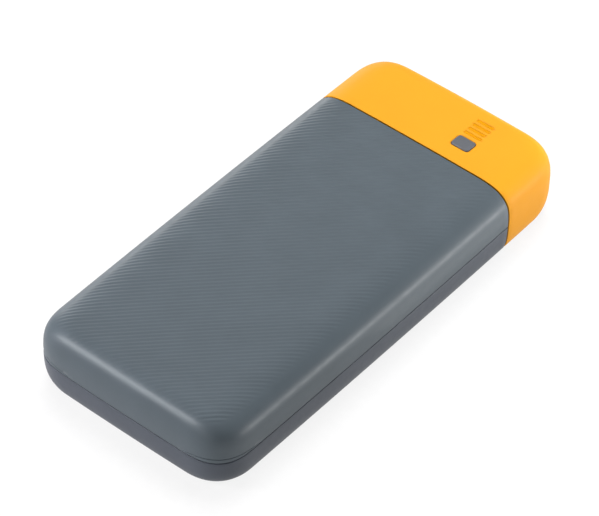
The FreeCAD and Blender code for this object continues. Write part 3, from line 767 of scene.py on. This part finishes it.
def make_light_guide():
    """Block under the cap with four bars, whose ends are dished."""
    low, high = node_box("light_guide")
    centre, half = (low + high) / 2, (high - low) / 2
    shape = bmesh.new()
    block_heights = (low[2], GUIDE_BLOCK_TOP)
    add_stack(shape, [upright(centre, half[:2], GUIDE_RADIUS, height) for height in block_heights])
    # Each bar's edge is bevelled at 45 degrees, down from the first ring of the dish.
    wall_heights = (GUIDE_BLOCK_TOP - GUIDE_OVERLAP, high[2] - DISH[0][0])
    for place in SLOT_PLACES:
        loops = [upright(place, GUIDE_BAR, GUIDE_RADIUS, height) for height in wall_heights]
        for inset, dip in DISH:
            radius = max(GUIDE_RADIUS - inset, DISH_RADIUS)
            loops.append(upright(place, grown(GUIDE_BAR, -inset), radius, high[2] - dip))
        add_stack(shape, loops)
    obj = finished_mesh("light_guide_looks", shape)
    smooth(obj)
    return obj


cut_out(end_cap, cap_cutters())
button = make_button()
light_guide = make_light_guide()


# ---------------------------------------------------------------- finishes
CLOUD_SCALE = 70  # noise scales are in spots per metre
GLOSS_SCALE = 420
GLOSS_SPREAD = 0.04
STAIN_SCALE = 160
STAIN_TONES = (0.88, 1.06)
DRAWN_SPREAD = 0.07


def linear(red, green, blue):
    """Scene colour of a screen colour given from 0 to 255."""
    values = []
    for value in (red, green, blue):
        share = value / 255
        values.append(share / 12.92 if share <= 0.04045 else ((share + 0.055) / 1.055) ** 2.4)
    return (*values, 1)


class Nodes:
    """Shorthand for building one material's nodes."""

    def __init__(self, name):
        self.material = bpy.data.materials.new(name)
        self.material.use_nodes = True
        self.tree = self.material.node_tree
        self.shader = self.tree.nodes["Principled BSDF"]
        self.place = self.tree.nodes.new("ShaderNodeTexCoord").outputs["Object"]

    def link(self, source, target):
        self.tree.links.new(source, target)

    def noise(self, scale, detail=3, roughness=0.55, stretch=None):
        node = self.tree.nodes.new("ShaderNodeTexNoise")
        node.inputs["Scale"].default_value = scale
        node.inputs["Detail"].default_value = detail
        node.inputs["Roughness"].default_value = roughness
        place = self.place
        if stretch:
            mapping = self.tree.nodes.new("ShaderNodeMapping")
            mapping.inputs["Scale"].default_value = stretch
            self.link(place, mapping.inputs["Vector"])
            place = mapping.outputs["Vector"]
        self.link(place, node.inputs["Vector"])
        return node.outputs["Fac"]

    def ranged(self, source, low, high, start=0.3, stop=0.7):
        node = self.tree.nodes.new("ShaderNodeMapRange")
        node.inputs["From Min"].default_value = start
        node.inputs["From Max"].default_value = stop
        node.inputs["To Min"].default_value = low
        node.inputs["To Max"].default_value = high
        self.link(source, node.inputs["Value"])
        return node.outputs["Result"]

    def mixed(self, share, first, second):
        node = self.tree.nodes.new("ShaderNodeMix")
        node.data_type = "RGBA"
        self.link(share, node.inputs["Factor"])
        node.inputs["A"].default_value = first
        node.inputs["B"].default_value = second
        return node.outputs["Result"]

    def bump(self, height, distance, strength=1.0):
        node = self.tree.nodes.new("ShaderNodeBump")
        node.inputs["Distance"].default_value = distance
        node.inputs["Strength"].default_value = strength
        self.link(height, node.inputs["Height"])
        self.link(node.outputs["Normal"], self.shader.inputs["Normal"])


def shaded(colour, factor):
    return tuple(value * factor for value in colour[:3]) + (1,)


def moulded(name, colour, roughness, variation=0.05, grain=2600, depth=2e-6, shine=0.3):
    """Satin moulded plastic: faint clouds in its colour, uneven gloss and a fine spark-eroded grain."""
    nodes = Nodes(name)
    clouds = nodes.ranged(nodes.noise(CLOUD_SCALE, detail=4), 0, 1)
    clouded = nodes.mixed(clouds, shaded(colour, 1 - variation), shaded(colour, 1 + variation))
    nodes.link(clouded, nodes.shader.inputs["Base Color"])
    gloss = nodes.ranged(nodes.noise(GLOSS_SCALE), roughness - GLOSS_SPREAD, roughness + GLOSS_SPREAD)
    nodes.link(gloss, nodes.shader.inputs["Roughness"])
    nodes.shader.inputs["Specular IOR Level"].default_value = shine
    nodes.bump(nodes.noise(grain, detail=2, roughness=0.6), depth)
    return nodes.material


def metal(name, colour, roughness, stretch=(1, 14, 14), grain=900, depth=1.5e-6):
    """Metal with fine drawn lines and stains."""
    nodes = Nodes(name)
    stains = nodes.ranged(nodes.noise(STAIN_SCALE, detail=4), 0, 1)
    stained = nodes.mixed(stains, *(shaded(colour, tone) for tone in STAIN_TONES))
    nodes.link(stained, nodes.shader.inputs["Base Color"])
    nodes.shader.inputs["Metallic"].default_value = 1
    lines = nodes.noise(grain, roughness=0.6, stretch=stretch)
    gloss = nodes.ranged(lines, roughness - DRAWN_SPREAD, roughness + DRAWN_SPREAD)
    nodes.link(gloss, nodes.shader.inputs["Roughness"])
    nodes.bump(lines, depth)
    return nodes.material


# Maker, colour on a screen from 0 to 255, roughness, and what differs from the maker's defaults.
FINISHES = {
    "shell_grey": (moulded, (64, 71, 76), 0.4, dict(shine=0.17)),
    "lower_grey": (moulded, (59, 63, 70), 0.4, dict(shine=0.17)),
    "cap_orange": (moulded, (180, 122, 30), 0.46, dict(variation=0.02, shine=0.05)),
    "button_grey": (moulded, (72, 74, 78), 0.4, dict(shine=0.2)),
    "guide_amber": (moulded, (176, 118, 6), 0.45, dict(variation=0.03, shine=0.05)),
    "board_green": (moulded, (30, 92, 58), 0.35, dict(variation=0.15)),
    "inner_plastic": (moulded, (62, 62, 64), 0.5, dict()),
    "screw_steel": (metal, (206, 206, 208), 0.34, dict()),
    "socket_steel": (metal, (214, 214, 217), 0.3, dict()),
    "insulator_black": (moulded, (38, 38, 40), 0.45, dict()),
    "contact_gold": (metal, (224, 190, 120), 0.25, dict()),
    "contact_tin": (metal, (210, 210, 208), 0.35, dict()),
    "plunger_white": (moulded, (232, 232, 228), 0.45, dict()),
    "dome_steel": (metal, (205, 205, 205), 0.28, dict()),
    "led_white": (moulded, (244, 244, 236), 0.2, dict(variation=0.02)),
    "chip_black": (moulded, (44, 44, 46), 0.55, dict()),
    "ceramic_tan": (moulded, (186, 160, 124), 0.4, dict(variation=0.1)),
    "coil_grey": (moulded, (92, 92, 94), 0.5, dict(variation=0.1)),
    "can_aluminium": (metal, (200, 201, 204), 0.35, dict()),
    "pouch_foil": (metal, (192, 194, 198), 0.42, dict(stretch=(3, 3, 3), grain=300, depth=8e-6)),
    "foam_black": (moulded, (40, 40, 41), 0.85, dict(variation=0.2, grain=1500, depth=6e-5)),
    "tab_nickel": (metal, (198, 194, 184), 0.3, dict()),
    "wire_black": (moulded, (34, 34, 36), 0.45, dict()),
    "wire_red": (moulded, (176, 34, 30), 0.45, dict()),
}
materials = {}
for slot, (maker, colour, roughness, differences) in FINISHES.items():
    materials[slot] = maker(slot, linear(*colour), roughness, **differences)


def paint(obj, slot):
    obj.data.materials.clear()
    obj.data.materials.append(materials[slot])


for subpart in frame["record"]["subparts"]:
    paint(frame["nodes"][subpart["node"]], subpart["material_slot"])


def make_dome():
    """Snap dome of the switch as a mesh of its own."""
    node = frame["nodes"]["switch_dome"]
    mesh = node.data.copy()
    mesh.transform(node.matrix_world)
    return add_object("switch_dome_looks", mesh)


dome = make_dome()
for piece, node, slot, body in (
    (top_shell, "top_shell", "shell_grey", "case"),
    (bottom_shell, "bottom_shell", "lower_grey", "case"),
    (end_cap, "end_cap", "cap_orange", "case"),
    (button, "button", "button_grey", "key"),
    (light_guide, "light_guide", "guide_amber", "case"),
    (dome, "switch_dome", "dome_steel", "case"),
):
    paint(piece, slot)
    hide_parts(node)
    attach(piece, body)

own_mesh(dome)


# ---------------------------------------------------------------- floor, lights and camera
FLOOR_HALF = 6  # half the floor's width
FLOOR_GLOW = 0.835  # the floor is a lit white table, so that shadows on it stay faint
FLOOR_TONES = ((0.09, 0.09, 0.09, 1), (0.1, 0.1, 0.1, 1))
FLOOR_GRAIN = 300


def make_floor():
    mesh = bpy.data.meshes.new("floor")
    corners = [(x * FLOOR_HALF, y * FLOOR_HALF, 0) for x, y in ((-1, -1), (1, -1), (1, 1), (-1, 1))]
    mesh.from_pydata(corners, [], [[0, 1, 2, 3]])
    obj = add_object("floor", mesh)
    nodes = Nodes("floor_paper")
    grain = nodes.ranged(nodes.noise(FLOOR_GRAIN, detail=2), 0, 1)
    nodes.link(nodes.mixed(grain, *FLOOR_TONES), nodes.shader.inputs["Base Color"])
    nodes.shader.inputs["Roughness"].default_value = 0.9
    nodes.shader.inputs["Specular IOR Level"].default_value = 0.1
    nodes.shader.inputs["Emission Color"].default_value = (1, 1, 1, 1)
    nodes.shader.inputs["Emission Strength"].default_value = FLOOR_GLOW
    mesh.materials.append(nodes.material)
    return obj


def aim(obj, target):
    """Point an object's -Z axis at a target."""
    direction = Vector(target) - obj.location
    obj.rotation_mode = "QUATERNION"
    obj.rotation_quaternion = direction.to_track_quat("-Z", "Y")


def area_light(name, place, target, size, power, mirrored=True, diffuse=True, tint=(1, 1, 1)):
    """Rectangular lamp. Mirrored lamps show in reflections, diffuse ones light matt surfaces."""
    data = bpy.data.lights.new(name, "AREA")
    data.shape = "RECTANGLE"
    data.size, data.size_y = size
    data.energy = power
    data.color = tint
    obj = add_object(name, data)
    obj.location = place
    obj.visible_glossy = mirrored
    obj.visible_diffuse = diffuse
    obj.visible_camera = False
    aim(obj, target)


def make_world(strength):
    world = bpy.data.worlds.new("studio")
    world.use_nodes = True
    background = world.node_tree.nodes["Background"]
    background.inputs["Color"].default_value = (1, 1, 1, 1)
    background.inputs["Strength"].default_value = strength
    bpy.context.scene.world = world


def make_camera():
    """Camera whose picture was matched to the object's outline. Distance and shifts are in millimetres."""
    azimuth, elevation, roll = math.radians(38.60), math.radians(44.76), math.radians(1.57)
    distance, shift_x, shift_y = 1097.67, 1.12, 9.03
    level = math.cos(elevation)
    back = Vector((math.sin(azimuth) * level, -math.cos(azimuth) * level, math.sin(elevation)))
    flat_right = Vector((math.cos(azimuth), math.sin(azimuth), 0))
    flat_up = back.cross(flat_right)
    right = math.cos(roll) * flat_right + math.sin(roll) * flat_up
    up = -math.sin(roll) * flat_right + math.cos(roll) * flat_up
    data = bpy.data.cameras.new("camera")
    data.sensor_fit = "HORIZONTAL"
    data.sensor_width = 36
    data.lens = 199.89316
    data.clip_start, data.clip_end = 0.05, 50
    obj = add_object("camera", data)
    place = (-shift_x * right + shift_y * up + distance * back) * MM
    obj.matrix_world = Matrix.Translation(place) @ Matrix((right, up, back)).transposed().to_4x4()
    bpy.context.scene.camera = obj


make_floor()
make_world(strength=0.03)
# Each lamp has its place, its target, its size in metres and its power in watts. The first four light the
# matt surfaces, and the gleams and sheens show in reflections only.
area_light("overhead", (-0.3, 0.4, 0.95), (0, 0, 0), (0.7, 0.7), 24.5, mirrored=False)
area_light("front_fill", (-0.29, -0.3, 0.13), (0, -0.05, 0.01), (0.12, 0.12), 1.75, mirrored=False,
           tint=(1, 0.97, 1.03))
area_light("near_fill", (0.2, -1.3, 0.4), (0, 0, 0), (0.8, 0.4), 16, mirrored=False)
area_light("side_fill", (0.22, 0.22, 0.09), (0.03, 0.05, 0.01), (0.12, 0.12), 1.15, mirrored=False)
area_light("front_gleam", (-0.56, -0.74, 0.7), (0, -0.08, 0.02), (0.5, 0.5), 21, diffuse=False)
area_light("side_gleam", (0.66, 0.46, 0.012), (0, 0, 0.012), (0.5, 0.024), 5.4, diffuse=False)
area_light("far_sheen", (0.15, 0.15, 0.003), (0.15, 0.15, 1), (0.2, 0.3), 0.38, diffuse=False)
area_light("near_sheen", (0.15, -0.06, 0.003), (0.15, -0.06, 1), (0.2, 0.12), 0.05, diffuse=False)
area_light("left_gleam", (-0.8, 0.55, 0.12), (0, 0, 0.02), (0.6, 0.25), 3, diffuse=False)
make_camera()
bpy.context.scene.view_settings.view_transform = "Standard"
